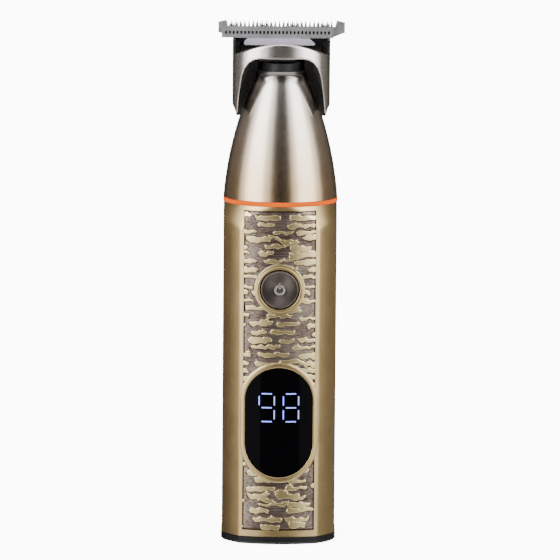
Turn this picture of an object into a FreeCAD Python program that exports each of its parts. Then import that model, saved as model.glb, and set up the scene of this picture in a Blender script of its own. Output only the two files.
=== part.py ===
"""Cordless T-blade hair clipper, modelled as the separate pieces it comes apart into.

Millimetres, +Z up. The clipper stands on its base cap: the origin is the middle of
the cap's lower face, the front (button and display) faces -Y, the blade is at the top.
"""
import FreeCAD, Part
import os
import re
import Sketcher

V = FreeCAD.Vector
TURN_TO_Y = FreeCAD.Rotation(V(1, 0, 0), -90)      # a cylinder's own axis, +Z, laid along +Y

SIZES = {
    # body shell: an eight-sided tube with bowed front and back faces
    "half_width": 17.8, "face_half_width": 12.35, "face_depth": 15.3, "face_radius": 31.75,
    "side_depth": 7.7, "facet_radius": 24.0, "wall": 1.7, "front_wall": 2.6, "shell_top": 106.7,
    "round_start": 95.0, "round_radius": 32.2, "bore_radius": 16.3,
    # base cap and charging socket
    "cap_top": 2.5, "cap_lip": 0.2, "cap_edge": 0.8, "plug_top": 4.4, "socket_gap": 0.25,
    "socket_width": 8.94, "socket_depth": 3.26, "socket_low": 0.8, "socket_top": 8.4,
    "cap_screw_place": 11.0, "cap_screw_head": 1.9, "cap_screw_shank": 1.0,
    # front panel, button and display window
    "panel_half_width": 11.25, "panel_low": 4.5, "panel_top": 105.4, "panel_seat": 1.2,
    "relief_depth": 0.4, "panel_play": 0.05,
    "button_height": 80.7, "button_radius": 5.95, "button_bore": 6.25, "button_proud": 0.45,
    "button_ring_radius": 7.1, "plunger_radius": 1.7,
    "window_height": 38.7, "window_radius": 10.65, "window_straight": 13.4, "rim_width": 1.6,
    "lens_thick": 1.5, "ledge": 1.4, "digit_height": 8.8, "digit_width": 4.75,
    "digit_shift": 3.8, "digit_lift": 4.75, "segment": 0.95, "segment_gap": 0.3,
    # ring, neck and collar
    "ring_top": 108.1, "neck_foot": 17.95, "neck_curve": 112.0, "neck_shoulder": 8.4,
    "shoulder_height": 145.5, "shoulder_round": 3.2, "neck_top": 148.0, "neck_tip": 7.2,
    "hollow_tip": 11.3, "neck_ceiling": 135.4, "collar_radius": 5.95, "collar_top": 150.3,
    "collar_bore": 4.6, "spigot_low": 103.2,
    # motor, shaft and eccentric
    "motor_radius": 10.0, "motor_low": 104.2, "motor_top": 132.2, "shaft_radius": 1.0,
    "run_gap": 0.03, "cam_radius": 4.0, "cam_low": 144.6, "cam_top": 149.4,
    "throw": 1.3, "pin_radius": 0.9, "pin_top": 153.4,
    # head
    "head_half_width": 15.3, "head_foot": 14.0, "head_low": 133.4, "head_top": 157.5,
    "head_corner": 137.6, "head_face": 2.5, "head_back": 14.2, "head_knee": 142.0,
    "head_play": 0.15, "well_floor": 150.6, "head_bell": 3.2, "side_wall": 0.9,
    "hood_half_width": 15.0, "hood_side": 4.6, "hood_radius": 16.2,
    "hood_top": 157.3, "hood_crown": 30.0, "hood_wall": 1.1, "arch_top": 152.6,
    # blades
    "blade_face": 4.0, "blade_thick": 1.2, "blade_width": 39.8, "tooth_tip": 163.1,
    "tooth_root": 161.2, "fixed_pitch": 1.365, "fixed_teeth": 24, "bar_low": 157.6,
    "ear_low": 159.4, "stem_low": 151.4, "slide_gap": 0.04,
    "mover_width": 35.0, "mover_thick": 1.1, "mover_pitch": 1.195, "mover_teeth": 28,
    "mover_tip": 162.5, "mover_low": 157.75, "dot_low": 158.95, "dot_high": 0.95,
    "dot_width": 0.62, "plate_half_width": 11.2, "plate_low": 155.2, "plate_top": 157.65,
    "blade_screw_place": 10.6, "spring_line": 0.9, "blade_screw_height": 153.3,
    # inside the body
    "board_front": 8.5, "board_thick": 1.2, "board_half_width": 13.8, "board_low": 13.0,
    "board_top": 98.0, "rail_inner": 12.0, "rail_outer": 14.4, "battery_radius": 9.2,
    "battery_length": 65.0, "battery_low": 14.4, "battery_back": 4.2, "frame_low": 10.2,
    "frame_top": 100.6, "plate_thick": 1.6,
}

doc = FreeCAD.newDocument("hair_clipper")
sheet = doc.addObject("Spreadsheet::Sheet", "dims")
for row, (word, value) in enumerate(SIZES.items(), 1):
    sheet.set(f"A{row}", word)
    sheet.set(f"B{row}", str(value))
    sheet.setAlias(f"B{row}", word)
doc.recompute()

NODES = {}


def formula(text):
    """A formula in the sheet's words, with each word pointed at its cell."""
    return re.sub(r"\b([a-z][a-z_]+)\b",
                  lambda found: "dims." + found[1] if found[1] in SIZES else found[1], str(text))


def size(text):
    """The number that a formula in the sheet's words comes to."""
    return float(sheet.evalExpression(str(text)))


def bind(item, **formulas):
    """Bind properties of an item to formulas; a double underscore stands for a dot."""
    for name, text in formulas.items():
        item.setExpression(name.replace("__", "."), formula(text))
    return item


def add(kind, name):
    return doc.addObject(kind, name)


def node(name, item):
    """Mark an item as one sub-part of the clipper."""
    item.Label = name
    NODES[name] = item
    return item


def place(item, x=0, y=0, z=0, turn=None):
    """Give an item its turn, and bind its position to three formulas."""
    item.Placement = FreeCAD.Placement(V(), turn or FreeCAD.Rotation())
    return bind(item, Placement__Base__x=x, Placement__Base__y=y, Placement__Base__z=z)


def box(name, x, y, z):
    """A block between pairs of formulas along each axis."""
    item = bind(add("Part::Box", name), Length=f"({x[1]})-({x[0]})",
                Width=f"({y[1]})-({y[0]})", Height=f"({z[1]})-({z[0]})")
    return place(item, x[0], y[0], z[0])


def rod(name, radius, low, high, x=0, y=0):
    """An upright cylinder from height low to height high."""
    item = bind(add("Part::Cylinder", name), Radius=radius, Height=f"({high})-({low})")
    return place(item, x, y, low)


def peg(name, radius, front, back, x=0, z=0):
    """A cylinder lying along Y from front to back."""
    item = bind(add("Part::Cylinder", name), Radius=radius, Height=f"({back})-({front})")
    return place(item, x, front, z, TURN_TO_Y)


def join(kind, name, items):
    item = add(kind, name)
    item.Shapes = items
    return item


def fuse(name, *items):
    return join("Part::MultiFuse", name, list(items))


def common(name, *items):
    return join("Part::MultiCommon", name, list(items))


def cut(name, base, *tools):
    """The base with every tool taken away."""
    item = add("Part::Cut", name)
    item.Base = base
    item.Tool = tools[0] if len(tools) == 1 else fuse(name + "_tools", *tools)
    return item


def plane(body, role):
    return next(item for item in body.Origin.OriginFeatures if item.Role == role)


def outline(body, name, role, points):
    """A closed sketch, drawn anticlockwise.

    Each point is (a, b), or (a, b, radius) where an arc that bows outwards leads on.
    """
    drawing = body.newObject("Sketcher::SketchObject", name)
    drawing.AttachmentSupport = [(plane(body, role), "")]
    drawing.MapMode = "FlatFace"
    spots = [V(size(point[0]), size(point[1]), 0) for point in points]
    for i, point in enumerate(points):
        start, end = spots[i], spots[(i + 1) % len(points)]
        if len(point) < 3:
            drawing.addGeometry(Part.LineSegment(start, end), False)
            continue
        radius, chord = size(point[2]), end - start
        outwards = V(chord.y, -chord.x, 0).normalize()
        rise = radius - (radius ** 2 - chord.Length ** 2 / 4) ** 0.5
        drawing.addGeometry(Part.Arc(start, (start + end) / 2 + outwards * rise, end), False)
    for i, point in enumerate(points):
        drawing.addConstraint(Sketcher.Constraint("Coincident", i, 2, (i + 1) % len(points), 1))
        for kind, text in (("DistanceX", point[0]), ("DistanceY", point[1])):
            rule = drawing.addConstraint(Sketcher.Constraint(kind, -1, 1, i, 1, size(text)))
            drawing.setExpression(f"Constraints[{rule}]", formula(text))
        if len(point) == 3:
            rule = drawing.addConstraint(Sketcher.Constraint("Radius", i, size(point[2])))
            drawing.setExpression(f"Constraints[{rule}]", formula(point[2]))
    return drawing


def turned(name, points):
    """A lathe-turned body: the outline (radius, height) revolved about the Z axis."""
    body = add("PartDesign::Body", name)
    drawing = outline(body, name + "_profile", "XZ_Plane", points)
    spin = body.newObject("PartDesign::Revolution", name + "_turn")
    spin.Profile = drawing
    spin.ReferenceAxis = (drawing, ["V_Axis"])
    spin.Angle = 360
    return body


def padded(name, points, role, length, x=0, y=0, z=0, taper=0):
    """An outline drawn on an origin plane and padded along that plane's normal."""
    body = add("PartDesign::Body", name)
    drawing = outline(body, name + "_profile", role, points)
    pad = body.newObject("PartDesign::Pad", name + "_pad")
    pad.Profile = drawing
    pad.TaperAngle = taper
    bind(pad, Length=length)
    place(body, x, y, z)
    return body


# ---- forms shared by several pieces -------------------------------------------------

def octagon(face, depth, side, slope, radius):
    """The shell's eight-sided section: bowed front and back, and slightly bowed corner facets."""
    bow = "facet_radius"
    return [(f"0-({face})", f"0-({depth})", radius), (face, f"0-({depth})", bow),
            (side, f"0-({slope})"), (side, slope, bow), (face, depth, radius),
            (f"0-({face})", depth, bow), (f"0-({side})", slope),
            (f"0-({side})", f"0-({slope})", bow)]


def outer_section(grow="0"):
    return octagon(f"face_half_width+({grow})*0.4", f"face_depth+({grow})", f"half_width+({grow})",
                   f"side_depth+({grow})*0.4", f"face_radius+({grow})")


def round_off(name, inset="0"):
    """The turned envelope that draws the eight sides in to a circle at the ring."""
    return turned(name, [
        ("0", "1"), (f"half_width+2.2-({inset})", "1"),
        (f"half_width+2.2-({inset})", "round_start", "round_radius"),
        (f"half_width-({inset})", "shell_top"), ("0", "shell_top")])


def front_form(name, inset):
    """The bowed front face, moved inwards by an inset, drawn in at the top."""
    drum = rod(name + "_drum", f"face_radius-({inset})", "1", "shell_top", 0,
               "(face_radius^2-face_half_width^2)^0.5-face_depth")
    return common(name, drum, round_off(name + "_round", inset))


def front_layer(name, outer, inner, half_width, low, high):
    """A layer of the front face between two insets, inside a rectangle of the front view."""
    window = box(name + "_window", (f"0-({half_width})", half_width),
                 ("0-half_width-2", "0-8"), (low, high))
    band = common(name + "_band", front_form(name + "_outer", outer), window)
    return cut(name, band, front_form(name + "_inner", inner))


def pill(name, radius, front="0-half_width-2", back="0-8"):
    """The display window's round-ended outline as a solid along Y."""
    height = ("window_height-window_straight/2", "window_height+window_straight/2")
    ends = [peg(f"{name}_{i}", radius, front, back, 0, z) for i, z in enumerate(height)]
    return fuse(name, box(name + "_middle", (f"0-({radius})", radius), (front, back), height), *ends)


def button_hole(name, radius, front="0-half_width-2", back="0-8"):
    return peg(name, radius, front, back, 0, "button_height")


def neck_form(name, grow):
    """The neck's turned outer form, grown by a clearance."""
    return turned(name, [
        ("0", "ring_top-4"), (f"neck_foot+({grow})", "ring_top-4"),
        (f"neck_foot+({grow})", "ring_top", f"neck_curve+({grow})"),
        (f"neck_shoulder+({grow})", "shoulder_height", f"shoulder_round+({grow})"),
        (f"neck_tip+0.1+({grow})", "neck_top"), (f"neck_tip+0.1+({grow})", "well_floor+0.2"),
        ("0", "well_floor+0.2")])


# ---- body shell, base and front ----------------------------------------------------

def make_shell():
    prism = padded("shell_prism", outer_section(), "XY_Plane", "shell_top-cap_top", 0, 0, "cap_top")
    hollow = padded("shell_hollow", octagon(
        "face_half_width-wall*0.9", "face_depth-front_wall+0.4", "half_width-wall", "side_depth-0.6",
        "face_radius-front_wall"), "XY_Plane", "shell_top", 0, 0, "0.5")
    bore = rod("shell_bore", "bore_radius", "0", "shell_top+1")
    socket = rod("ring_socket", "bore_radius", "spigot_low", "shell_top+1")
    recess = front_layer("panel_recess", "0-0.5", "panel_seat", "panel_half_width",
                         "panel_low", "panel_top")
    node("body_shell", cut("shell", common("shell_outer", prism, round_off("shell_round")),
                           common("shell_inside", hollow, bore), socket, recess,
                           pill("window_hole", "window_radius-ledge"),
                           button_hole("shell_button_hole", "button_bore")))


def make_panel():
    sheet_layer = front_layer("panel_sheet", "relief_depth", "panel_seat-panel_play",
                              "panel_half_width-panel_play", "panel_low+panel_play",
                              "panel_top-panel_play")
    rim_layer = front_layer("rim_layer", "0", "panel_seat-panel_play",
                            "panel_half_width-panel_play", "panel_low+panel_play",
                            "panel_top-panel_play")
    rim = common("window_rim", rim_layer, pill("rim_outline", "window_radius+rim_width"))
    node("relief_panel", cut("panel", fuse("panel_blank", sheet_layer, rim),
                             pill("panel_window", "window_radius+panel_play"),
                             button_hole("panel_button_hole", "button_ring_radius+panel_play")))
    ring = peg("ring_blank", "button_ring_radius", "0-half_width-0.2", "0-half_width+1", 0,
               "button_height")
    node("button_ring", cut("button_trim", ring, button_hole("ring_hole", "button_bore"),
                            front_form("ring_seat", "panel_seat")))


def make_window():
    layer = front_layer("lens_layer", "0.12", "lens_thick+0.1", "window_radius", "10", "80")
    seat = front_form("lens_seat", "panel_seat")
    brim = cut("lens_front", layer, seat)
    lens = common("lens_blank", brim, pill("lens_outline", "window_radius"))
    segments = digits("9", "0-digit_shift") + digits("8", "digit_shift")
    node("digit_light_guides", common("guides", fuse("segments", *segments), brim))
    node("display_window", cut("lens", lens, fuse("segment_slots", *[
        place_copy(item) for item in segments])))
    block = box("display_block", ("0-9.2", "9.2"), ("0-13.4", "0-board_front"),
                ("window_height-13", "window_height+14"))
    node("display_module", block)


def place_copy(item):
    """A second, linked object with the same formulas as a segment block."""
    twin = doc.copyObject(item)
    return twin


def digits(figure, middle):
    """The lit bars of one seven-bar figure, as blocks through the lens."""
    lit = {"8": "abcdefg", "9": "abcdfg"}[figure]
    half, bar = "digit_width/2", "segment/2"
    centre = "window_height+digit_lift"
    rise = "digit_height/2"
    spans = {
        "a": ((f"0-{half}+{bar}", f"{half}-{bar}"), (f"{rise}-{bar}", f"{rise}+{bar}")),
        "g": ((f"0-{half}+{bar}", f"{half}-{bar}"), (f"0-{bar}", bar)),
        "d": ((f"0-{half}+{bar}", f"{half}-{bar}"), (f"0-{rise}-{bar}", f"0-{rise}+{bar}")),
        "b": ((f"{half}-{bar}", f"{half}+{bar}"), (bar, f"{rise}-{bar}")),
        "c": ((f"{half}-{bar}", f"{half}+{bar}"), (f"0-{rise}+{bar}", f"0-{bar}")),
        "f": ((f"0-{half}-{bar}", f"0-{half}+{bar}"), (bar, f"{rise}-{bar}")),
        "e": ((f"0-{half}-{bar}", f"0-{half}+{bar}"), (f"0-{rise}+{bar}", f"0-{bar}")),
    }
    blocks = []
    for letter in lit:
        across, up = spans[letter]
        trim = "segment_gap"
        wide = (f"({middle})+({across[0]})+{trim}", f"({middle})+({across[1]})-{trim}")
        tall = (f"{centre}+({up[0]})+{trim}", f"{centre}+({up[1]})-{trim}")
        blocks.append(box(f"bar_{figure}_{letter}", wide, ("0-half_width-1", "0-12"), tall))
    return blocks


def make_button():
    cap = peg("button_cap_blank", "button_radius", "0-half_width-button_proud", "0-13.9", 0,
              "button_height")
    flange = peg("button_flange", "7.0", "0-13.9", "0-13.1", 0, "button_height")
    stem = peg("button_stem", "2.2", "0-13.2", "0-12.4", 0, "button_height")
    node("power_button", fuse("button_cap", cap, flange, stem))
    node("switch_plunger", peg("plunger", "plunger_radius", "0-12.4", "0-10.6", 0, "button_height"))
    body = box("switch_body", ("0-3", "3"), ("0-11.4", "0-board_front"),
               ("button_height-3", "button_height+3"))
    node("tact_switch", cut("switch", body, peg("switch_bore", "plunger_radius+0.05", "0-12", "0-9.6",
                                                0, "button_height")))


def make_base():
    foot = padded("cap_foot", outer_section("cap_lip"), "XY_Plane", "cap_top")
    doc.recompute()
    slab = foot.Tip
    under = [f"Edge{i + 1}" for i, e in enumerate(foot.Shape.Edges) if e.BoundBox.ZMax < 0.01]
    edge = foot.newObject("PartDesign::Chamfer", "cap_edge_cut")
    edge.Base = (slab, under)
    bind(edge, Size="cap_edge")
    foot.Tip = edge
    plug = padded("cap_plug", octagon(
        "face_half_width-wall*0.9-0.1", "face_depth-front_wall+0.3", "half_width-wall-0.1",
        "side_depth-0.7", "face_radius-front_wall"), "XY_Plane", "plug_top-cap_top+0.5",
        0, 0, "cap_top-0.5")
    plug = common("cap_plug_round", plug, rod("cap_plug_rod", "bore_radius-0.1", "0", "plug_top"))
    slot = box("socket_slot", ("0-socket_width/2-socket_gap", "socket_width/2+socket_gap"),
               ("0-socket_depth/2-socket_gap", "socket_depth/2+socket_gap"), ("0-1", "plug_top+1"))
    holes = []
    for side in ("0-", ""):
        holes.append(rod("cap_head_hole", "cap_screw_head+0.15", "0-1", "1.4",
                         f"{side}cap_screw_place"))
        holes.append(rod("cap_shank_hole", "cap_screw_shank+0.05", "0", "plug_top+1",
                         f"{side}cap_screw_place"))
    node("base_cap", cut("cap", fuse("cap_blank", foot, plug), slot, *holes))
    screws = []
    for side in ("0-", ""):
        head = rod("cap_screw_head_rod", "cap_screw_head", "0.3", "1.4", f"{side}cap_screw_place")
        shank = rod("cap_screw_rod", "cap_screw_shank", "1.3", "9.4", f"{side}cap_screw_place")
        drive = rod("cap_screw_drive", "0.7", "0", "0.9", f"{side}cap_screw_place")
        screws.append(cut("cap_screw", fuse("cap_screw_blank", head, shank), drive))
    node("base_screws", fuse("cap_screws", *screws))
    metal = box("socket_shell", ("0-socket_width/2", "socket_width/2"),
                ("0-socket_depth/2", "socket_depth/2"), ("socket_low", "socket_top"))
    inside = box("socket_inside", ("0-socket_width/2+0.3", "socket_width/2-0.3"),
                 ("0-socket_depth/2+0.3", "socket_depth/2-0.3"), ("0", "socket_top-0.6"))
    node("charging_socket", cut("socket", metal, inside))
    node("socket_tongue", box("contact_tongue", ("0-3.3", "3.3"), ("0-0.35", "0.35"),
                              ("socket_low+1", "socket_top-0.6")))
    node("charging_board", box("charge_board", ("0-8", "8"), ("0-6", "6"),
                               ("socket_top", "socket_top+1.0")))


# ---- ring, neck, motor and eccentric --------------------------------------------------

def make_neck():
    node("accent_ring", turned("ring", [
        ("bore_radius-0.1", "spigot_low+1.4"), ("bore_radius-0.1", "shell_top"),
        ("neck_foot", "shell_top"), ("neck_foot", "ring_top"), ("bore_radius-1.2", "ring_top"),
        ("bore_radius-1.2", "spigot_low+1.4")]))
    outer = turned("neck_outer", [
        ("0", "ring_top"), ("neck_foot", "ring_top", "neck_curve"),
        ("neck_shoulder", "shoulder_height", "shoulder_round"), ("neck_tip", "neck_top"),
        ("0", "neck_top")])
    skirt = rod("neck_skirt", "bore_radius-1.3", "spigot_low", "ring_top+0.2")
    hollow = turned("neck_hollow", [
        ("0", "spigot_low-1"), ("bore_radius-2.5", "spigot_low-1"),
        ("bore_radius-2.5", "ring_top"), ("hollow_tip", "neck_ceiling-1"),
        ("hollow_tip", "neck_ceiling"), ("0", "neck_ceiling")])
    bore = rod("neck_bore", "collar_bore", "neck_ceiling-1", "neck_top+1")
    node("neck_cone", cut("neck", fuse("neck_blank", outer, skirt), hollow, bore))
    node("neck_collar", cut("collar", rod("collar_ring", "collar_radius", "neck_top", "collar_top"),
                            rod("collar_hole", "collar_bore", "neck_top-1", "collar_top+1")))


def make_motor():
    can = rod("can_blank", "motor_radius", "motor_low", "motor_top")
    node("motor_can", cut("can", can, rod("can_inside", "motor_radius-0.9", "motor_low-1",
                                          "motor_top-1"),
                          rod("can_bearing", "shaft_radius+run_gap", "motor_top-2", "motor_top+1")))
    node("motor_magnets", cut("magnets", rod("magnet_ring", "motor_radius-0.9", "110", "126"),
                              rod("magnet_hole", "7.7", "109", "127")))
    node("motor_end_cap", cut("end_cap", rod("end_cap_disc", "motor_radius-0.2", "motor_low-2.2",
                                             "motor_low"),
                              rod("end_bearing", "shaft_radius+run_gap", "motor_low-3",
                                  "motor_low+1")))
    node("motor_shaft", rod("shaft", "shaft_radius", "motor_low-1.6", "cam_top-2.4"))
    node("motor_armature", cut("armature", fuse("armature_blank", rod("laminations", "7.2", "111",
                                                                      "125"),
                                                rod("commutator", "3.0", "105.6", "111")),
                               rod("armature_bore", "shaft_radius", "104", "126")))
    cam = rod("cam_blank", "cam_radius", "cam_low", "cam_top")
    node("drive_cam", cut("cam", cam, rod("cam_bore", "shaft_radius", "cam_low-1", "cam_top-2.4"),
                          rod("cam_pin_bore", "pin_radius", "cam_top-2.2", "cam_top+1", "0-throw")))
    node("cam_pin", rod("pin", "pin_radius", "cam_top-2.2", "pin_top", "0-throw"))
    mount = turned("mount", [
        ("3.2", "motor_top+0.9"), ("motor_radius+0.05", "motor_top+0.9"),
        ("motor_radius+0.05", "110.5"), ("bore_radius-3.0", "110.5"),
        ("bore_radius-3.0", "112"), ("motor_radius+1.2", "112"),
        ("motor_radius+1.2", "motor_top+2.1"), ("3.2", "motor_top+2.1")])
    node("motor_mount", mount)
    node("motor_damper", cut("damper", rod("damper_disc", "motor_radius-0.2", "motor_top",
                                           "motor_top+0.9"),
                             rod("damper_hole", "3.2", "motor_top-1", "motor_top+1")))


# ---- head and blades -----------------------------------------------------------------

def make_head():
    side = padded("base_side", [
        ("0-head_face", "head_low"), ("head_back", "head_low"), ("head_back", "head_knee"),
        ("blade_face+blade_thick+1.4", "stem_low-0.1"), ("blade_face", "stem_low-0.1"),
        ("blade_face", "head_top"), ("0-head_face", "head_top")], "YZ_Plane",
        "head_half_width*2", "0-head_half_width")
    front = head_front("base_front")
    well = box("base_well", ("0-head_half_width+side_wall", "head_half_width-side_wall"),
               ("0-head_face-1", "blade_face+1"), ("well_floor", "head_top+1"))
    bell = common("base_bell", neck_form("bell_form", "head_bell"),
                  box("bell_front", ("0-20", "20"), ("0-30", "1.5"), ("120", "156")))
    pads = []
    for sign in ("0-", ""):
        pads.append(box("screw_pad", (f"{sign}blade_screw_place-1.9", f"{sign}blade_screw_place+1.9"),
                        ("1.8", "blade_face"), ("well_floor", "blade_screw_height+1.4")))
    rests = []
    for sign in ("0-", ""):
        middle = f"{sign}(head_half_width-side_wall-0.6)"
        rests.append(box("stem_rest", (f"{middle}-0.7", f"{middle}+0.7"), ("2.9", "blade_face"),
                         ("well_floor", "head_top-1")))
    block = cut("base_block", common("base_outer", side, front), well, bell,
                neck_form("neck_room", "head_play"))
    screws = [peg("pad_bore", "0.8", "1.9", "blade_face+1", f"{sign}blade_screw_place",
                  "blade_screw_height") for sign in ("0-", "")]
    node("head_base", cut("base", fuse("base_whole", block, *pads, *rests), *screws))


def hood_plan(inset):
    """The hood's plan, drawn anticlockwise from its back left corner."""
    half = f"(hood_half_width-{inset})"
    return [(f"0-{half}", "0-head_face"), (f"0-{half}", "0-hood_side", f"hood_radius-{inset}"),
            (half, "0-hood_side"), (half, "0-head_face")]


def head_front(name):
    """The head's outline in the front view, with its cut lower corners."""
    return padded(name, [
        ("0-head_foot", "head_low"), ("head_foot", "head_low"),
        ("head_half_width", "head_corner"), ("head_half_width", "head_top"),
        ("0-head_half_width", "head_top"), ("0-head_half_width", "head_corner")], "XZ_Plane",
        "60", 0, "30")


def make_hood():
    outer = padded("hood_outer", hood_plan("0"), "XY_Plane", "hood_top-head_low", 0, 0, "head_low",
                   taper=-0.5)
    inner = padded("hood_inner", hood_plan("hood_wall"), "XY_Plane", "hood_top-head_low+2", 0, 0,
                   "head_low-1", taper=-0.5)
    inner_back = box("hood_back_trim", ("0-hood_half_width+hood_wall+0.4",
                                        "hood_half_width-hood_wall-0.4"),
                     ("0-head_face-1", "0"), ("head_low-1", "hood_top+1"))
    crown = peg("hood_crown_drum", "hood_crown", "0-20", "5", 0, "hood_top-hood_crown")
    arch = padded("hood_arch", [
        ("0-13.9", "head_low-1"), ("13.9", "head_low-1"), ("13.6", "140"), ("12.6", "147", "6.2"),
        ("6.8", "arch_top"), ("0-6.8", "arch_top", "6.2"), ("0-12.6", "147"), ("0-13.6", "140")],
        "XZ_Plane", "30", 0, "0")
    solid = common("hood_solid", outer, crown, head_front("hood_front_view"))
    shell = cut("hood_shell", solid, inner, inner_back, arch,
                neck_form("hood_neck_room", "head_play"))
    node("head_hood", shell)


def teeth(name, count, pitch, root, tip, front, back, wide, sharp, shift="0"):
    """A row of pointed teeth: one tooth drawn and padded, then patterned along X."""
    body = add("PartDesign::Body", name)
    start = f"0-({pitch})*{(count - 1) / 2}+({shift})"
    drawing = outline(body, name + "_tooth", "XZ_Plane", [
        (f"{start}-{wide / 2}", f"({root})-0.3"), (f"{start}+{wide / 2}", f"({root})-0.3"),
        (f"{start}+{wide / 2}", root), (f"{start}+{sharp / 2}", tip), (f"{start}-{sharp / 2}", tip),
        (f"{start}-{wide / 2}", root)])
    pad = body.newObject("PartDesign::Pad", name + "_pad")
    pad.Profile = drawing
    bind(pad, Length=f"({back})-({front})")
    doc.recompute()
    row_of = body.newObject("PartDesign::LinearPattern", name + "_row")
    row_of.Originals = [pad]
    row_of.Direction = (drawing, ["H_Axis"])
    row_of.Occurrences = count
    bind(row_of, Length=f"({pitch})*{count - 1}")
    body.Tip = row_of
    place(body, 0, back, 0)
    return body


def make_blades():
    half = "blade_width/2"
    tee = padded("fixed_tee", [
        (f"0-{half}", "ear_low"), ("0-head_half_width", "bar_low"),
        ("0-head_half_width+0.3", "stem_low"), ("head_half_width-0.3", "stem_low"),
        ("head_half_width", "bar_low"), (half, "ear_low"), (half, "tooth_tip-0.5"),
        (f"{half}-2.6", "tooth_tip+0.1"), (f"{half}-3.1", "tooth_root"),
        (f"0-{half}+3.1", "tooth_root"), (f"0-{half}+2.6", "tooth_tip+0.1"),
        (f"0-{half}", "tooth_tip-0.5")], "XZ_Plane", "blade_thick", 0, "blade_face+blade_thick")
    spikes = teeth("fixed_spikes", int(size("fixed_teeth")), "fixed_pitch", "tooth_root", "tooth_tip",
                   "blade_face", "blade_face+0.7", 0.8, 0.16)
    holes = [peg("blade_hole", "1.05", "0", "9", f"{sign}blade_screw_place", "blade_screw_height")
             for sign in ("0-", "")]
    node("fixed_blade", cut("fixed", fuse("fixed_blank", tee, spikes), *holes))
    screws = []
    for sign in ("0-", ""):
        x = f"{sign}blade_screw_place"
        head = peg("blade_screw_head", "1.75", "blade_face+blade_thick",
                   "blade_face+blade_thick+1.0", x, "blade_screw_height")
        shank = peg("blade_screw_shank", "0.8", "2.0", "blade_face+blade_thick+0.2", x,
                    "blade_screw_height")
        drive = box("blade_screw_slot", (f"{x}-1.3", f"{x}+1.3"),
                    ("blade_face+blade_thick+0.5", "blade_face+blade_thick+1.5"),
                    ("blade_screw_height-0.22", "blade_screw_height+0.22"))
        screws.append(cut("blade_screw", fuse("blade_screw_blank", head, shank), drive))
    node("blade_screws", fuse("screw_pair", *screws))

    mover_back, mover_front = "blade_face-slide_gap", "blade_face-slide_gap-mover_thick"
    bar = box("mover_bar", ("0-throw-mover_width/2", "0-throw+mover_width/2"),
              (mover_front, mover_back), ("mover_low", "tooth_root"))
    stem = box("mover_stem", ("0-throw-7.4", "0-throw+7.4"), (mover_front, mover_back),
               ("plate_low-0.4", "mover_low+0.2"))
    count = int(size("mover_teeth"))
    edge = teeth("mover_spikes", count, "mover_pitch", "tooth_root", "mover_tip",
                 f"{mover_back}-0.6", mover_back, 0.78, 0.2, "0-throw")
    holes = []
    for index in range(count):
        x = f"0-throw+mover_pitch*{index - (count - 1) / 2}"
        holes.append(box("dot", (f"{x}-dot_width/2", f"{x}+dot_width/2"),
                         (f"{mover_front}-0.5", f"{mover_front}+0.6"),
                         ("dot_low", "dot_low+dot_high")))
    node("moving_blade", cut("mover", fuse("mover_blank", bar, stem, edge), *holes))

    left, right = "0-plate_half_width-0.6", "plate_half_width-0.6"
    plate = padded("drive_plate_body", [
        (left, "plate_low+0.8"), (f"{left}+0.8", "plate_low"), (f"{right}-0.8", "plate_low"),
        (right, "plate_low+0.8"), (f"{right}-1.8", "plate_top"), (f"{left}+1.2", "plate_top"),
        (f"{left}+0.3", "plate_top-0.7")], "XZ_Plane", "1.3", 0, mover_front)
    node("drive_plate", plate)
    link = box("yoke_link", ("0-throw-5.6", "0-throw+5.6"), (f"{mover_front}-1.0", mover_front),
               ("151.0", "plate_low-0.05"))
    block = box("yoke_block", ("0-throw-5.6", "0-throw+5.6"), ("0-3.4", f"{mover_front}-0.9"),
                ("151.0", "153.8"))
    window = box("yoke_window", ("0-throw*3-pin_radius-0.2", "throw+pin_radius+0.2"),
                 ("0-throw-pin_radius-0.15", "throw+pin_radius+0.15"), ("150", "155"))
    node("drive_yoke", cut("yoke", fuse("yoke_blank", link, block), window))
    legs = [rod("spring_leg", "0.4", "well_floor", "155.6", f"{sign}(head_half_width-side_wall-1.8)",
                "spring_line") for sign in ("0-", "")]
    bar = box("spring_bar", ("0-head_half_width+side_wall+1.8", "head_half_width-side_wall-1.8"),
              ("spring_line-0.4", "spring_line+0.4"), ("155.0", "155.6"))
    node("blade_spring", fuse("spring_wire", *legs, bar))


# ---- inside the body -------------------------------------------------------------------

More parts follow.
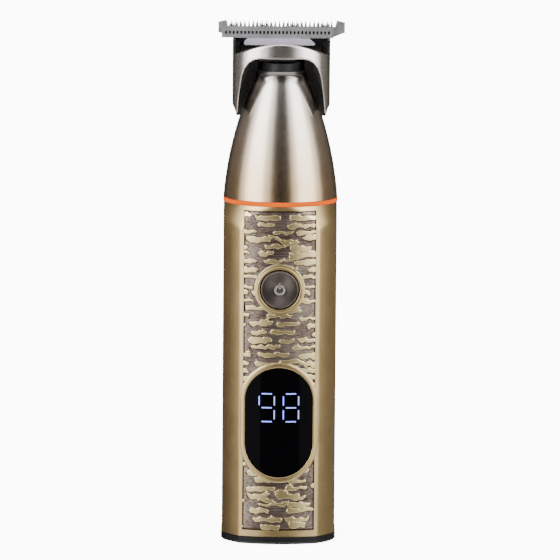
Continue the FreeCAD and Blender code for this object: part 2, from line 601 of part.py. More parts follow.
def make_insides():
    board = box("board", ("0-board_half_width", "board_half_width"),
                ("0-board_front", "0-board_front+board_thick"), ("board_low", "board_top"))
    screw_heights = ("board_low+4", "board_top-4")
    screw_places = [(f"{sign}(rail_inner+0.75)", z) for sign in ("0-", "") for z in screw_heights]
    holes = [peg("board_hole", "0.85", "0-12", "0-3", x, z) for x, z in screw_places]
    node("main_board", cut("board_drilled", board, *holes))
    screws = []
    for x, z in screw_places:
        head = peg("board_screw_head", "0.95", "0-board_front-0.35", "0-board_front", x, z)
        shank = peg("board_screw_shank", "0.8", "0-board_front-0.1", "0-3.4", x, z)
        screws.append(fuse("board_screw", head, shank))
    node("board_screws", fuse("board_screw_set", *screws))
    chips = [box("chip", (f"{x}-{w}/2", f"{x}+{w}/2"), ("0-board_front-1.2", "0-board_front"),
                 (f"{z}-{t}/2", f"{z}+{t}/2"))
             for x, z, w, t in ((0, 66, 5, 5), (6.5, 64, 3, 5), ("0-6", 68, 4, 3), (0, 19, 6, 4))]
    node("board_chips", fuse("chips", *chips))

    back = "0-board_front+board_thick"
    rails = [box("rail", (f"{a}", f"{b}"), (back, "6"), ("frame_low", "frame_top"))
             for a, b in (("0-rail_outer", "0-rail_inner"), ("rail_inner", "rail_outer"))]
    plates = [box("frame_plate", ("0-rail_outer", "rail_outer"), (back, "6"),
                  (low, f"{low}+plate_thick")) for low in ("frame_low", "frame_top-plate_thick")]
    bosses = [rod("frame_boss", "2.3", "plug_top+0.1", "frame_low+0.5", f"{sign}cap_screw_place")
              for sign in ("0-", "")]
    bores = [rod("boss_bore", "cap_screw_shank", "0", "9.4", f"{sign}cap_screw_place")
             for sign in ("0-", "")]
    bores += [peg("rail_bore", "0.8", "0-12", "0-3.4", x, z) for x, z in screw_places]
    bores.append(box("lead_gap", ("0-7", "7"), (f"{back}-1", "0-5"), ("frame_top-4", "frame_top+1")))
    node("inner_frame", cut("frame", fuse("frame_blank", *rails, *plates, *bosses), *bores))

    node("battery_cell", rod("cell", "battery_radius", "battery_low", "battery_low+battery_length",
                             0, "battery_back"))
    tabs = [box("tab", ("0-3.5", "3.5"), (back, "battery_back+4"), (low, high)) for low, high in (
        ("battery_low-0.3", "battery_low"),
        ("battery_low+battery_length", "battery_low+battery_length+0.3"))]
    node("battery_tabs", fuse("tab_pair", *tabs))
    leads = [rod("lead", "0.6", "board_top", "motor_low-2.2", x, "0-7.9") for x in ("0-4.5", "4.5")]
    node("motor_leads", fuse("lead_pair", *leads))


def check_and_write():
    """Stop at any failed feature or bad shape, then write one file per node."""
    doc.recompute()
    for item in doc.Objects:
        if "Invalid" in item.State or "Error" in item.State:
            raise RuntimeError(f"{item.Name} ({item.Label}): {item.State}")
    os.makedirs("parts", exist_ok=True)
    for name, item in NODES.items():
        shape = item.Shape
        if shape.isNull() or not shape.isValid() or shape.Volume <= 0:
            raise RuntimeError(f"{name} has no valid shape")
        shape.exportStep(f"parts/{name}.step")
        print(f"{name:20s} solids {len(shape.Solids):2d} volume {shape.Volume:9.2f}")


for make in (make_shell, make_panel, make_window, make_button, make_base, make_neck, make_motor,
             make_head, make_hood, make_blades, make_insides):
    make()
check_and_write()
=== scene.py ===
"""Looks of a cordless T-blade hair clipper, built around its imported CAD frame.

The CAD frame carries the size, the joints and the inner pieces. This script adds the smooth
metal skins, the relief panel and every material. Lengths are in metres.
"""
import logging
import math
from dataclasses import dataclass, field
from enum import Enum
from typing import Any

import bmesh
import bpy
import numpy as np
from mathutils import Matrix, Vector

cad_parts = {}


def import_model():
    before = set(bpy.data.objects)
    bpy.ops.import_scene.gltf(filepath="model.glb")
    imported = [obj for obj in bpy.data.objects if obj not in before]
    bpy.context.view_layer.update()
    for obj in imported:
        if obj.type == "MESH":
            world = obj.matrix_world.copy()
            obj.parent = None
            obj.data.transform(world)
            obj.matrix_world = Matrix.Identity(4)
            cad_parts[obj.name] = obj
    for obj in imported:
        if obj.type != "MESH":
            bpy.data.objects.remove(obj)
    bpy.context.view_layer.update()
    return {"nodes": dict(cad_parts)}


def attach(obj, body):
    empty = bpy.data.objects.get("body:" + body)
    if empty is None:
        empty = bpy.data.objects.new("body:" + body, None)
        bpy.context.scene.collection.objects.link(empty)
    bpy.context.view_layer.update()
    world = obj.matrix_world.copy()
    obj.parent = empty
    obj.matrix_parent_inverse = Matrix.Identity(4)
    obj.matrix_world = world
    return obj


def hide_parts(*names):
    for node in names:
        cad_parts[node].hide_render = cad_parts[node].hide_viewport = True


MM = 0.001
LOG = logging.getLogger("clipper")
Grid = np.ndarray


# ---- small tools ---------------------------------------------------------------------

def linear(hex_colour: str, alpha: float = 1.0) -> tuple[float, float, float, float]:
    """Turn an sRGB hex colour into linear light.

    Args:
        hex_colour: Six hex digits, such as "b08a4a".
        alpha: The fourth channel.

    Returns:
        Linear red, green, blue and alpha.
    """
    parts = [int(hex_colour[i:i + 2], 16) / 255 for i in (0, 2, 4)]
    light = [p / 12.92 if p <= 0.04045 else ((p + 0.055) / 1.055) ** 2.4 for p in parts]
    return (light[0], light[1], light[2], alpha)


def add_node(tree: Any, kind: str, links: dict | None = None, **settings: Any) -> Any:
    """Add a shader node, set its sockets and properties, and link its inputs.

    Args:
        tree: The node tree.
        kind: Blender's name for the node type, without the "ShaderNode" prefix.
        links: Input socket name or number, to the output socket that feeds it.
        settings: Properties by name; names that are input sockets use spaces as "_".

    Returns:
        The new node.
    """
    node = tree.nodes.new("ShaderNode" + kind)
    for name, value in settings.items():
        if hasattr(node, name):
            setattr(node, name, value)
        else:
            node.inputs[name.replace("_", " ")].default_value = value
    for name, source in (links or {}).items():
        tree.links.new(source, node.inputs[name])
    return node


def ramp(tree: Any, source: Any, stops: list[tuple[float, str]]) -> Any:
    """Map a value to colours.

    Args:
        tree: The node tree.
        source: The value's output socket.
        stops: Place and hex colour of each stop.

    Returns:
        The colour's output socket.
    """
    node = add_node(tree, "ValToRGB", {"Fac": source})
    while len(node.color_ramp.elements) < len(stops):
        node.color_ramp.elements.new(0.5)
    for element, (place, colour) in zip(node.color_ramp.elements, stops):
        element.position = place
        element.color = linear(colour)
    return node.outputs["Color"]


class Grain(Enum):
    """Which way the polishing lines of a metal run."""
    NONE = "no lines"
    UPRIGHT = "lines along Z"
    ACROSS = "lines along X"
    LATHE = "rings about Z"
    SPUN = "rings about the button's axis"


@dataclass(frozen=True)
class Finish:
    """A real material and how its surface was made."""
    name: str
    colour: str
    shade: str
    metallic: float
    roughness: float
    spread: float = 0.08
    grain: Grain = Grain.NONE
    grain_mm: float = 0.12
    stretch: float = 60.0
    bump: float = 0.0
    anisotropic: float = 0.0
    glow: float = 0.0
    specular: float = 0.5
    # colour of an engraved sign and of painted highlights, laid where the point attribute asks
    mark_and_highlight: str = ""
    wear_mm: float = 6.0
    centre: tuple[float, float, float] = (0.0, 0.0, 0.0)

    def coordinates(self, tree: Any) -> Any:
        """Give object coordinates in millimetres, squeezed along the grain.

        Args:
            tree: The material's node tree.

        Returns:
            The coordinates' output socket.
        """
        place = add_node(tree, "TexCoord").outputs["Object"]
        per_metre = 1.0 / (self.grain_mm * MM)
        long = per_metre / self.stretch
        if self.grain in (Grain.LATHE, Grain.SPUN):
            centred = add_node(tree, "VectorMath", {0: place}, operation="SUBTRACT")
            centred.inputs[1].default_value = self.centre
            split = add_node(tree, "SeparateXYZ", {0: centred.outputs[0]})
            second, third = ("Y", "Z") if self.grain is Grain.LATHE else ("Z", "Y")
            squares = [add_node(tree, "Math", {0: split.outputs[axis], 1: split.outputs[axis]},
                                operation="MULTIPLY").outputs[0] for axis in ("X", second)]
            total = add_node(tree, "Math", {0: squares[0], 1: squares[1]}, operation="ADD")
            radius = add_node(tree, "Math", {0: total.outputs[0]}, operation="SQRT").outputs[0]
            place = add_node(tree, "CombineXYZ",
                             {"X": radius, "Y": split.outputs[third]}).outputs[0]
            scale = (per_metre, per_metre, per_metre)
        else:
            scale = {Grain.UPRIGHT: (per_metre, per_metre, long),
                     Grain.ACROSS: (long, per_metre, per_metre)}.get(
                         self.grain, (per_metre, per_metre, per_metre))
        return add_node(tree, "Mapping", {"Vector": place}, Scale=scale).outputs[0]

    def tint(self, tree: Any, place: Any, colour: Any) -> Any:
        """Lay the mark_and_highlight colour over the colour wherever the point attribute
        "mark_and_highlight" is 1, an engraved sign or a painted highlight.

        Args:
            tree: The material's node tree.
            place: The object coordinates' output socket; not used here.
            colour: The bare colour's output socket.

        Returns:
            The finished colour's output socket.
        """
        if not self.mark_and_highlight:
            return colour
        share = add_node(tree, "Attribute", attribute_name="mark_and_highlight").outputs["Fac"]
        return add_node(tree, "MixRGB", {"Fac": share, "Color1": colour},
                        Color2=linear(self.mark_and_highlight)).outputs[0]

    def build(self) -> bpy.types.Material:
        """Make the material, or return it if it is already made."""
        if self.name in bpy.data.materials:
            return bpy.data.materials[self.name]
        material = bpy.data.materials.new(self.name)
        material.use_nodes = True
        tree = material.node_tree
        tree.nodes.clear()
        place = add_node(tree, "TexCoord").outputs["Object"]
        cloud = add_node(tree, "TexNoise", {"Vector": place}, Scale=1.0 / (self.wear_mm * MM),
                         Detail=3.0, Roughness=0.6).outputs[0]
        fine = add_node(tree, "TexNoise", {"Vector": self.coordinates(tree)}, Scale=1.0,
                        Detail=2.0, Roughness=0.7).outputs[0]
        mixed = add_node(tree, "Math", {0: cloud, 1: fine}, operation="ADD").outputs[0]
        level = add_node(tree, "MapRange", {"Value": mixed}, From_Min=0.7, From_Max=1.3).outputs[0]
        colour = ramp(tree, level, [(0.0, self.shade), (1.0, self.colour)])
        colour = self.tint(tree, place, colour)
        rough = add_node(tree, "MapRange", {"Value": mixed}, From_Min=0.7, From_Max=1.3,
                         To_Min=max(self.roughness - self.spread, 0.02),
                         To_Max=self.roughness + self.spread).outputs[0]
        shader = add_node(tree, "BsdfPrincipled", {"Base Color": colour, "Roughness": rough},
                          Metallic=self.metallic, Anisotropic=self.anisotropic,
                          Specular_IOR_Level=self.specular)
        if self.grain is Grain.SPUN:
            spun = add_node(tree, "Tangent", direction_type="RADIAL", axis="Y")
            tree.links.new(spun.outputs[0], shader.inputs["Tangent"])
        if self.bump:
            relief = add_node(tree, "Bump", {"Height": fine}, Strength=self.bump,
                              Distance=self.grain_mm * MM)
            tree.links.new(relief.outputs[0], shader.inputs["Normal"])
        if self.glow:
            shader.inputs["Emission Color"].default_value = linear(self.colour)
            shader.inputs["Emission Strength"].default_value = self.glow
        add_node(tree, "OutputMaterial", {"Surface": shader.outputs[0]})
        return material


@dataclass(frozen=True)
class FadingNickel(Finish):
    """Nickel whose champagne wash thins towards the tip."""
    tip: str = "d6cfc8"
    low: float = 112.0 * MM
    high: float = 146.0 * MM
    shaded: str = "7a7571"
    shade_low: float = 144.2 * MM
    shade_high: float = 146.4 * MM

    def tint(self, tree: Any, place: Any, colour: Any) -> Any:
        """Fade the colour with height, and darken the tip, a painted stand-in for shade."""
        height = add_node(tree, "SeparateXYZ", {0: place}).outputs["Z"]
        for low, high, paint in ((self.low, self.high, self.tip),
                                 (self.shade_low, self.shade_high, self.shaded)):
            share = add_node(tree, "MapRange", {"Value": height}, From_Min=low,
                             From_Max=high).outputs[0]
            colour = add_node(tree, "MixRGB", {"Fac": share, "Color1": colour},
                              Color2=linear(paint)).outputs[0]
        return colour


@dataclass(frozen=True)
class PocketedSteel(Finish):
    """Ground steel, painted dark where its pockets or its stem lie in shade."""
    floor: float = 3.02 * MM
    behind: bool = True
    pocket_top: float = 160.15 * MM
    # painted shade: the dark colour laid on the pocket floors or the stem front, where shade falls
    painted_shade: str = "323136"

    def tint(self, tree: Any, place: Any, colour: Any) -> Any:
        """Darken what lies behind, or in front of, a plane and below the teeth."""
        split = add_node(tree, "SeparateXYZ", {0: place})
        deep = add_node(tree, "Math", {0: split.outputs["Y"]},
                        operation="GREATER_THAN" if self.behind else "LESS_THAN")
        deep.inputs[1].default_value = self.floor
        low = add_node(tree, "Math", {0: split.outputs["Z"]}, operation="LESS_THAN")
        low.inputs[1].default_value = self.pocket_top
        share = add_node(tree, "Math", {0: deep.outputs[0], 1: low.outputs[0]},
                         operation="MULTIPLY").outputs[0]
        return add_node(tree, "MixRGB", {"Fac": share, "Color1": colour},
                        Color2=linear(self.painted_shade)).outputs[0]


BUTTON_HEIGHT = 80.7 * MM
ANTIQUE_BRASS = Finish("brass_plated_brushed", "c5ac7b", "bba272", 1.0, 0.33, 0.02, Grain.UPRIGHT,
                       0.10, 80.0, 0.06)
NICKEL_NECK = FadingNickel("champagne_nickel_turned", "c8ae8c", "bda382", 1.0, 0.24, 0.015,
                           Grain.LATHE, 0.10, 1.0, 0.004)
NICKEL_HOOD = Finish("champagne_nickel_satin", "d9d4ce", "cdc8c2", 1.0, 0.25, 0.015, Grain.ACROSS,
                     0.10, 30.0, 0.006)
# painted shade: on the fixed blade's stem front below the teeth, and on the moving blade's pocket
# floors
BLADE_STEEL = PocketedSteel("stainless_steel_ground", "a5a5a6", "959596", 1.0, 0.50, 0.06,
                            Grain.ACROSS, 0.08, 30.0, 0.05, floor=4.3 * MM, behind=False,
                            pocket_top=157.55 * MM)
MOVING_STEEL = PocketedSteel("stainless_steel_moving_blade", "a9a9aa", "9b9b9c", 1.0, 0.50, 0.04,
                             Grain.ACROSS, 0.08, 30.0, 0.03)
# the lighter colour fills the engraved power sign and paints a highlight ring on the lip
GUNMETAL = Finish("gunmetal_spun", "837a76", "706865", 1.0, 0.30, 0.03, Grain.SPUN, 0.10, 1.0, 0.03,
                  anisotropic=0.75, centre=(0.0, 0.0, BUTTON_HEIGHT), mark_and_highlight="b1aba7")
CARRIER = Finish("acetal_silver_moulded", "b3adbc", "a49eac", 0.35, 0.32, 0.05, grain_mm=0.4,
                 bump=0.02)
HEAD_NYLON = Finish("nylon_dark_moulded", "1b1918", "131211", 0.0, 0.42, 0.06, grain_mm=0.25,
                    bump=0.06, specular=0.3)
BLACK_ABS = Finish("abs_black_textured", "0e0e10", "09090a", 0.0, 0.45, 0.06, grain_mm=0.25,
                   bump=0.08, specular=0.2)
BLACK_ACETAL = Finish("acetal_black_moulded", "1b1a1a", "121111", 0.0, 0.40, 0.05, grain_mm=0.3,
                      bump=0.04)
ORANGE_ABS = Finish("abs_orange_gloss", "c04e00", "b24700", 0.0, 0.50, 0.03, grain_mm=0.5,
                    bump=0.01, specular=0.03)
SMOKED_ACRYLIC = Finish("acrylic_smoked_gloss", "020203", "010102", 0.0, 0.08, 0.02, grain_mm=1.5,
                        bump=0.002, specular=0.05)
LIGHT_GUIDE = Finish("acrylic_light_guide_lit", "7c8af6", "7381f0", 0.0, 0.30, 0.03, grain_mm=0.5,
                     glow=1.0)
BRIGHT_STEEL = Finish("steel_bright_turned", "b9b9bb", "a0a0a2", 1.0, 0.28, 0.05, grain_mm=0.2,
                      bump=0.03)
BLACK_STEEL = Finish("steel_blackened", "2c2a29", "211f1f", 1.0, 0.40, 0.05, grain_mm=0.2, bump=0.03)
RUBBER = Finish("rubber_grey_moulded", "121110", "0d0c0c", 0.0, 0.55, 0.05, grain_mm=0.3, bump=0.06)
GREEN_FR4 = Finish("fr4_green_solder_mask", "12472a", "0d3a21", 0.0, 0.35, 0.05, grain_mm=0.4,
                   bump=0.03)
CELL_SLEEVE = Finish("pvc_blue_sleeve", "1f4f8f", "1a447c", 0.0, 0.35, 0.04, grain_mm=0.6, bump=0.03)
RED_PVC = Finish("pvc_red_wire", "a3201a", "8f1a15", 0.0, 0.40, 0.04, grain_mm=0.4, bump=0.02)
FERRITE = Finish("ferrite_sintered", "3c3a39", "2e2c2b", 0.2, 0.60, 0.06, grain_mm=0.3, bump=0.10)

NODE_FINISHES: dict[Finish, tuple[str, ...]] = {
    ANTIQUE_BRASS: ("body_shell", "relief_panel", "button_ring"),
    NICKEL_NECK: ("neck_cone",), NICKEL_HOOD: ("head_hood",), GUNMETAL: ("power_button",),
    BLADE_STEEL: ("fixed_blade",), MOVING_STEEL: ("moving_blade",), CARRIER: ("drive_plate",),
    HEAD_NYLON: ("head_base",), BLACK_ABS: ("base_cap", "socket_tongue", "inner_frame",
                                            "motor_mount", "motor_end_cap", "display_module"),
    BLACK_ACETAL: ("drive_yoke", "drive_cam", "switch_plunger", "board_chips"),
    ORANGE_ABS: ("accent_ring",), SMOKED_ACRYLIC: ("display_window",),
    LIGHT_GUIDE: ("digit_light_guides",), RUBBER: ("neck_collar", "motor_damper"),
    BLACK_STEEL: ("blade_screws", "blade_spring", "cam_pin"),
    BRIGHT_STEEL: ("base_screws", "board_screws",
                   "charging_socket", "motor_can", "motor_shaft", "motor_armature",
                   "battery_tabs", "tact_switch"),
    GREEN_FR4: ("main_board", "charging_board"), CELL_SLEEVE: ("battery_cell",),
    RED_PVC: ("motor_leads",), FERRITE: ("motor_magnets",),
}


def mesh_piece(name: str, points: Grid, faces: Grid, finish: Finish, smooth: bool = True
               ) -> bpy.types.Object:
    """Put whole arrays of points and faces into a new object at the origin.

    Args:
        name: The piece's name.
        points: An array of shape (n, 3), in metres.
        faces: An array of shape (m, 4) or (m, 3) of point numbers.
        finish: The material.
        smooth: Whether the faces shade smoothly.

    Returns:
        The new object.
    """
    mesh = bpy.data.meshes.new(name)
    mesh.from_pydata(points.tolist(), [], faces.tolist())
    mesh.update()
    mesh.shade_smooth() if smooth else mesh.shade_flat()
    mesh.materials.append(finish.build())
    piece = bpy.data.objects.new(name, mesh)
    bpy.context.scene.collection.objects.link(piece)
    return piece


def grid_faces(rows: int, columns: int, ring: bool) -> Grid:
    """Number the quads of a grid of points.

    Args:
        rows: How many rows of points.
        columns: How many points in a row.
        ring: Whether each row closes on itself.

    Returns:
        An array of shape (m, 4).
    """
    down, across = np.arange(rows - 1)[:, None], np.arange(columns if ring else columns - 1)[None, :]
    right = (across + 1) % columns
    quads = [down * columns + across, down * columns + right, (down + 1) * columns + right,
             (down + 1) * columns + across]
    return np.stack([np.broadcast_to(q, (rows - 1, across.size)) for q in quads], -1).reshape(-1, 4)


def lathe(profile: list[tuple[float, float]], count: int) -> tuple[Grid, Grid]:
    """Turn a closed profile about Z: point (radius, height) goes round in count steps.

    Args:
        profile: Radius and height of each corner in metres, anticlockwise, not repeated at the end.
        count: How many steps make a turn.

    Returns:
        Points and faces of a closed ring.
    """
    outline = np.array(profile + profile[:1])
    turn = np.linspace(0, 2 * math.pi, count, endpoint=False)
    radius, height = outline[:, 0:1], outline[:, 1:2]
    points = np.stack([radius * np.cos(turn), radius * np.sin(turn),
                       np.broadcast_to(height, (len(outline), count))], -1)
    faces = grid_faces(len(outline), count, True)
    faces[faces >= (len(outline) - 1) * count] -= (len(outline) - 1) * count
    return points[:-1].reshape(-1, 3), faces


# ---- the body's outer form -----------------------------------------------------------

@dataclass
class BodyForm:
    """The eight-sided body: bowed front and back, flat sides, drawn in to a circle at the top."""
    half_width: float = 17.8 * MM
    face_radius: float = 31.75 * MM
    face_centre: float = 13.95 * MM
    corner: tuple[float, float] = (12.35 * MM, 15.3 * MM)
    side_corner: tuple[float, float] = (17.8 * MM, 7.7 * MM)
    facet_radius: float = 24.0 * MM
    round_start: float = 95.0 * MM
    top: float = 106.7 * MM
    round_radius: float = 32.2 * MM
    edge_room: float = 2.2 * MM
    softness: float = 0.06 * MM

    def circle(self, height: Grid) -> Grid:
        """Radius of the turned envelope: constant, then an arc inwards up to the ring."""
        rise = np.clip(height - self.round_start, 0, self.top - self.round_start)
        return self.half_width + self.edge_room - (self.round_radius - np.sqrt(
            self.round_radius ** 2 - rise ** 2))

    def reach(self, angle: Grid, height: Grid, grow: float = 0.0) -> Grid:
        """Distance from the axis to the surface, in a direction from the front, at a height.

        Each face gives the distance at which a ray leaves it; the surface is their soft minimum,
        which leaves a small rounding on every edge.

        Args:
            angle: Direction in radians: 0 is the front, positive towards +X.
            height: Height in metres.
            grow: How far the form is moved outwards.

        Returns:
            The distance in metres.
        """
        s, c = np.abs(np.sin(angle)), np.abs(np.cos(angle))
        bowed = c * -self.face_centre + np.sqrt(
            (self.face_radius + grow) ** 2 - (self.face_centre * s) ** 2)
        run, fall = self.side_corner[0] - self.corner[0], self.corner[1] - self.side_corner[1]
        length = math.hypot(run, fall)
        sunk = math.sqrt(self.facet_radius ** 2 - length ** 2 / 4)
        middle = ((self.corner[0] + self.side_corner[0]) / 2 - sunk * fall / length,
                  (self.corner[1] + self.side_corner[1]) / 2 - sunk * run / length)
        along = s * middle[0] + c * middle[1]
        facet = along + np.sqrt((self.facet_radius + grow) ** 2 - middle[0] ** 2
                                - middle[1] ** 2 + along ** 2)
        side = (self.half_width + grow) / np.maximum(s, 1e-6)
        options = np.stack([bowed, facet, np.minimum(side, 1.0),
                            np.broadcast_to(self.circle(height) + grow, bowed.shape)])
        low = options.min(0)
        return low - self.softness * np.log(np.exp((low - options) / self.softness).sum(0))

    def at_width(self, x: Grid, height: Grid, grow: float = 0.0) -> Grid:
        """Depth towards the front of the point of the surface at a given x and height.

        The direction that gives x is found by repeating angle = asin(x / reach(angle)).
        """
        angle = np.arcsin(np.clip(x / self.half_width, -0.95, 0.95))
        for _ in range(12):
            angle = np.arcsin(np.clip(x / self.reach(angle, height, grow), -0.95, 0.95))
        return self.reach(angle, height, grow) * np.cos(angle)


FORM = BodyForm()


def soft_step(value: Grid, low: float, high: float) -> Grid:
    """Rise smoothly from 0 at low to 1 at high."""
    t = np.clip((value - low) / (high - low), 0, 1)
    return t * t * (3 - 2 * t)


def smooth_noise(x: Grid, z: Grid, cell: tuple[float, float], seed: int) -> Grid:
    """Value noise from -1 to 1: random corner values of a lattice, joined by smooth steps."""
    values = np.random.default_rng(seed).uniform(-1, 1, (257, 257))
    u, v = x / cell[0] + 100.5, z / cell[1] + 20.5
    i, j = np.floor(u).astype(int), np.floor(v).astype(int)
    a, b = soft_step(u - i, 0, 1), soft_step(v - j, 0, 1)
    i, j = i % 256, j % 256
    low = values[i, j] * (1 - a) + values[i + 1, j] * a
    high = values[i, j + 1] * (1 - a) + values[i + 1, j + 1] * a
    return low * (1 - b) + high * b


def pill_distance(x: Grid, z: Grid, centre: float, straight: float) -> Grid:
    """Distance from the spine of an upright pill: a segment of the given length."""
    up = np.clip(z - centre, -straight / 2, straight / 2)
    return np.hypot(x, z - centre - up)


@dataclass
class ReliefArt:
    """A generic pattern in millimetres: rows of cloud banks, small pines and winding streams.

    The layout is a seeded random draw. Every stroke is a chain of rounded segments, and the
    height field is the union of them all.
    """
    border: float = 11.2
    low: float = 5.8
    top: float = 104.0
    row: float = 2.45
    bank_length: tuple[float, float] = (3.0, 8.5)
    bank_gap: tuple[float, float] = (2.0, 6.5)
    bank_radius: tuple[float, float] = (0.45, 0.95)
    pine_share: float = 0.30
    streams: int = 6
    stream_radius: float = 0.42
    seed: int = 47
    bolder: float = 0.04

    def banks(self, draw: np.random.Generator) -> list[tuple[float, float, float, float]]:
        """Lay banks along level rows: left end, right end, height and radius of each."""
        found = []
        for level in np.arange(self.low, self.top, self.row):
            left = -self.border - draw.uniform(*self.bank_length)
            while left < self.border:
                right = left + draw.uniform(*self.bank_length)
                found.append((left, right, level + draw.uniform(-0.6, 0.6),
                              draw.uniform(*self.bank_radius)))
                left = right + draw.uniform(*self.bank_gap)
        return found

    def segments(self) -> Grid:
        """Every stroke as rows of x1, z1, r1, x2, z2, r2, in millimetres.

        A stream is a sine wave about a slope, x = start + 9 t and
        z = level + 0.9 sin(phase + 5 t) + rise t, for t from 0 to 1.
        """
        draw = np.random.default_rng(self.seed)
        rows = []
        for left, right, level, radius in self.banks(draw):
            rows.append((left, level, radius, right, level + 0.12 * radius, radius * 0.75))
            if draw.random() < self.pine_share:
                x, tall = draw.uniform(left, right), draw.uniform(0.8, 1.2)
                rows.append((x, level, 0.34 * tall, x + 0.15, level + 1.8 * tall, 0.10))
                for step, half in ((0.55, 0.95), (1.15, 0.60)):
                    z = level + step * tall
                    rows.append((x - half * tall, z - 0.2, 0.24, x + half * tall * 0.8, z - 0.1,
                                 0.20))
        t = np.linspace(0, 1, 17)
        for _ in range(self.streams):
            x = draw.uniform(-self.border, self.border - 9) + 9 * t
            z = draw.uniform(self.low, self.top) + draw.uniform(-1.5, 1.5) * t \
                + 0.9 * np.sin(draw.uniform(0, 2 * math.pi) + 5 * t)
            thick = np.full(16, self.stream_radius)
            rows.extend(np.stack([x[:-1], z[:-1], thick, x[1:], z[1:], thick], -1).tolist())
        return np.array(rows)

    def height(self, x: Grid, z: Grid) -> Grid:
        """Height from 0, the ground, to 1, the polished tops, at points in metres.

        The distance to each tapering segment is taken, the smallest is kept, noise roughens the
        outline, and a soft step turns it into a wall with rounded shoulders.
        """
        x, z = x / MM, z / MM
        x_bent = x + 0.45 * smooth_noise(x, z, (1.7, 1.3), 11)
        z_bent = z + 0.42 * smooth_noise(x, z, (1.25, 1.6), 12)
        near = np.full(x.shape, 9.0)
        for x1, z1, r1, x2, z2, r2 in self.segments():
            dx, dz = x2 - x1, z2 - z1
            t = np.clip(((x_bent - x1) * dx + (z_bent - z1) * dz) / (dx * dx + dz * dz + 1e-9), 0, 1)
            near = np.minimum(near, np.hypot(x_bent - x1 - t * dx, z_bent - z1 - t * dz)
                              - r1 - t * (r2 - r1))
        near += 0.10 * smooth_noise(x, z, (0.8, 0.6), 13) - self.bolder
        return soft_step(-near, -0.26, 0.12)


@dataclass
class FrontPanel:
    """The pressed brass panel with its relief, the window rim and the button's surround.

    The window and the button stand in places sunk to the floor, which are not cut through.
    """
    half_width: float = 11.22 * MM
    low: float = 4.55 * MM
    top: float = 105.36 * MM
    ground: float = 0.42 * MM
    floor: float = 1.10 * MM
    step: float = 0.105 * MM
    window_centre: float = 38.7 * MM
    window_straight: float = 13.4 * MM
    window_radius: float = 10.65 * MM
    rim: float = 1.6 * MM
    button_radius: float = 6.3 * MM
    button_rim: float = 7.9 * MM
    art: ReliefArt = field(default_factory=ReliefArt)

    def inset(self, x: Grid, z: Grid) -> tuple[Grid, Grid]:
        """How far below the body's face each point lies, and the relief height there.

        The second grid carries a faint rise along the border, which the colour ramp turns into
        painted shade where the border shadows the ground.
        """
        relief = self.art.height(x, z)
        window = pill_distance(x, z, self.window_centre, self.window_straight)
        button = np.hypot(x, z - BUTTON_HEIGHT)
        relief = np.maximum(relief, 1 - soft_step(window, self.window_radius + self.rim,
                                                  self.window_radius + self.rim + 0.2 * MM))
        relief = np.maximum(relief, 1 - soft_step(button, self.button_rim,
                                                  self.button_rim + 0.2 * MM))
        depth = self.ground * (1 - relief) + 0.02 * MM
        holed = np.maximum(1 - soft_step(window, self.window_radius, self.window_radius + 0.1 * MM),
                           1 - soft_step(button, self.button_radius, self.button_radius + 0.1 * MM))
        relief = relief + (0.35 - relief) * holed
        # painted shade: a dark band along the panel's border, where the raised border shadows the
        # ground
        edge = np.minimum(self.half_width - np.abs(x), np.minimum(z - self.low, self.top - z))
        border_shade = 0.32 * (1 - soft_step(edge, 0.12 * MM, 0.55 * MM))
        return depth + (self.floor - depth) * holed, np.maximum(relief, border_shade)

    def build(self) -> None:
        """Make the panel in three strips, each closed at its back by a flat skin."""
        finish = relief_brass()
        columns = int(round(2 * self.half_width / self.step))
        heights = np.linspace(self.low, self.top, int(round((self.top - self.low) / self.step)))
        cuts = np.linspace(0, len(heights) - 1, 4).astype(int)
        for number, (start, stop) in enumerate(zip(cuts, cuts[1:])):
            z, x = np.meshgrid(heights[start:stop + 1],
                               np.linspace(-self.half_width, self.half_width, columns), indexing="ij")
            inset, relief = self.inset(x, z)
            front = -(FORM.at_width(x, z) - inset)
            back = -(FORM.at_width(x, z) - self.floor - 0.03 * MM)
            name = f"relief_panel_{'lower middle upper'.split()[number]}"
            piece = slab(name, x, front, z, back, relief)
            piece.data.materials.append(finish)
            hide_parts("relief_panel")
            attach(piece, "handle")
            LOG.info("%s: %d faces", name, len(piece.data.polygons))


def slab(name: str, x: Grid, front: Grid, z: Grid, back: Grid, relief: Grid) -> bpy.types.Object:
    """Close a height field with side walls and a coarse back.

    The front grid is joined to a loop of back points by a strip round the edge, and the back is
    one many-sided strip of quads between its left and right columns.

    Args:
        name: The piece's name.
        x: Grid of x.
        front: Grid of y on the front.
        z: Grid of heights.
        back: Grid of y on the back.
        relief: Grid stored as the point attribute "relief".

    Returns:
        The new object, with no material.
    """
    rows, columns = x.shape
    faces = [grid_faces(rows, columns, False)]
    front_points = np.stack([x, front, z], -1).reshape(-1, 3)
    edge = np.concatenate([np.arange(columns), np.arange(1, rows) * columns + columns - 1,
                           (rows - 1) * columns + np.arange(columns - 2, -1, -1),
                           np.arange(rows - 2, 0, -1) * columns])
    back_points = np.stack([x, back, z], -1).reshape(-1, 3)[edge]
    loop = np.arange(len(edge))
    after = (loop + 1) % len(edge)
    base = rows * columns
    faces.append(np.stack([edge[after], edge[loop], base + loop, base + after], -1))
    left = base + np.concatenate([[0], len(edge) - np.arange(1, rows)])
    right = base + columns - 1 + np.arange(rows)
    faces.append(np.stack([left[:-1], left[1:], right[1:], right[:-1]], -1))
    mesh = bpy.data.meshes.new(name)
    mesh.from_pydata(np.concatenate([front_points, back_points]).tolist(), [],
                     np.concatenate(faces).tolist())
    values = np.concatenate([relief.reshape(-1), np.zeros(len(edge))]).astype(np.float32)
    mesh.attributes.new("relief", "FLOAT", "POINT").data.foreach_set("value", values)
    mesh.shade_smooth()
    piece = bpy.data.objects.new(name, mesh)
    bpy.context.scene.collection.objects.link(piece)
    return piece


